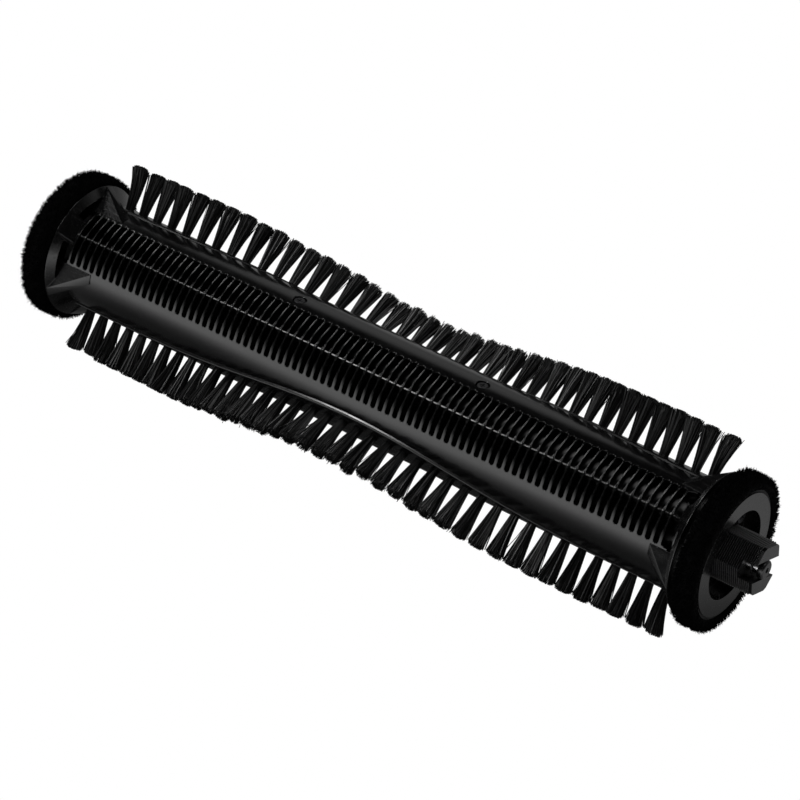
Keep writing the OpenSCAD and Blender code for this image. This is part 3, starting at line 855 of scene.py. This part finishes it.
# the paper is evenly white to look at; the light it gives falls off away from the roll and in its shadow
tc = nt.nodes.new("ShaderNodeTexCoord")
sp = nt.nodes.new("ShaderNodeSeparateXYZ")
nt.links.new(tc.outputs["Object"], sp.inputs["Vector"])
past_end = math_node(nt, "MAXIMUM", math_node(nt, "SUBTRACT", math_node(nt, "ABSOLUTE", sp.outputs["X"], 0), 0.09), 0)
d2 = math_node(nt, "ADD", math_node(nt, "POWER", past_end, 2), math_node(nt, "MULTIPLY", sp.outputs["Y"], sp.outputs["Y"]))
dist = math_node(nt, "DIVIDE", math_node(nt, "SQRT", d2, 0), 0.3)
near = ramp(nt, dist, [(0.0, 0.02), (0.06, 0.025), (0.11, 0.045), (0.16, 0.12), (0.22, 0.3), (0.3, 0.58), (0.45, 0.92), (0.8, 1.0)])
far = ramp(nt, dist, [(0.0, 0.02), (0.05, 0.04), (0.12, 0.17), (1.0, 0.17)])
glow_mix = nt.nodes.new("ShaderNodeMix")
glow_mix.data_type = "RGBA"
nt.links.new(spread(nt, sp.outputs["Y"], 0, 1, -0.01, 0.03), glow_mix.inputs["Factor"])
nt.links.new(near, glow_mix.inputs[6])
nt.links.new(far, glow_mix.inputs[7])
glow = glow_mix.outputs[2]
lp = nt.nodes.new("ShaderNodeLightPath")
mx = nt.nodes.new("ShaderNodeMix")
mx.data_type = "RGBA"
nt.links.new(lp.outputs["Is Camera Ray"], mx.inputs["Factor"])
nt.links.new(glow, mx.inputs[6])
mx.inputs[7].default_value = (0.5, 0.5, 0.5, 1)
nt.links.new(mx.outputs[2], em.inputs["Color"])
em.inputs["Strength"].default_value = 2.0
me.materials.append(m)
m.cycles.emission_sampling = "NONE"

world = bpy.data.worlds.new("world")
scene.world = world
world.use_nodes = True
nt = world.node_tree
bg = nt.nodes["Background"]
lp = nt.nodes.new("ShaderNodeLightPath")
mx = nt.nodes.new("ShaderNodeMix")
mx.data_type = "RGBA"
nt.links.new(lp.outputs["Is Camera Ray"], mx.inputs["Factor"])
# a wide panel low in front, a dim one low behind and a dark ceiling
tc = nt.nodes.new("ShaderNodeTexCoord")
sp = nt.nodes.new("ShaderNodeSeparateXYZ")
nt.links.new(tc.outputs["Generated"], sp.inputs["Vector"])
front = math_node(nt, "MULTIPLY", spread(nt, sp.outputs["Y"], 1, 0, -0.8, -0.4), spread(nt, sp.outputs["Z"], 2.0, 0, 0.12, 0.42))
front = math_node(nt, "MULTIPLY", front, spread(nt, sp.outputs["X"], 1, 0.2, 0.1, 0.6))
behind = math_node(nt, "MULTIPLY", spread(nt, sp.outputs["Y"], 0, 1, 0.3, 0.7), spread(nt, sp.outputs["Z"], 0.35, 0, 0.38, 0.5))
behind = math_node(nt, "MULTIPLY", behind, spread(nt, sp.outputs["Z"], 0.3, 1, -0.05, 0.2))
level = math_node(nt, "ADD", math_node(nt, "ADD", front, behind), 0.012)
nt.links.new(level, mx.inputs[6])
mx.inputs[7].default_value = (1, 1, 1, 1)
nt.links.new(mx.outputs[2], bg.inputs["Color"])
bg.inputs["Strength"].default_value = 1.0


def softbox(name, direction, distance, sx, sy, glare):
    """Square soft light in a direction, as bright as glare times white paper."""
    l = bpy.data.lights.new(name, "AREA")
    l.shape, l.size, l.size_y, l.energy = "RECTANGLE", sx, sy, glare * math.pi * sx * sy
    o = bpy.data.objects.new(name, l)
    scene.collection.objects.link(o)
    o.location = Vector(direction).normalized() * distance
    o.rotation_euler = (-o.location).to_track_quat("-Z", "Y").to_euler()
    return o


softbox("softbox_key", (-0.453, -0.372, 0.809), 1.2, 0.26, 0.26, 26)
softbox("softbox_left", (-0.80, 0.32, 0.50), 1.2, 0.3, 0.4, 12)
softbox("softbox_right", (0.40, 0.2, 0.89), 1.2, 0.3, 0.4, 8)
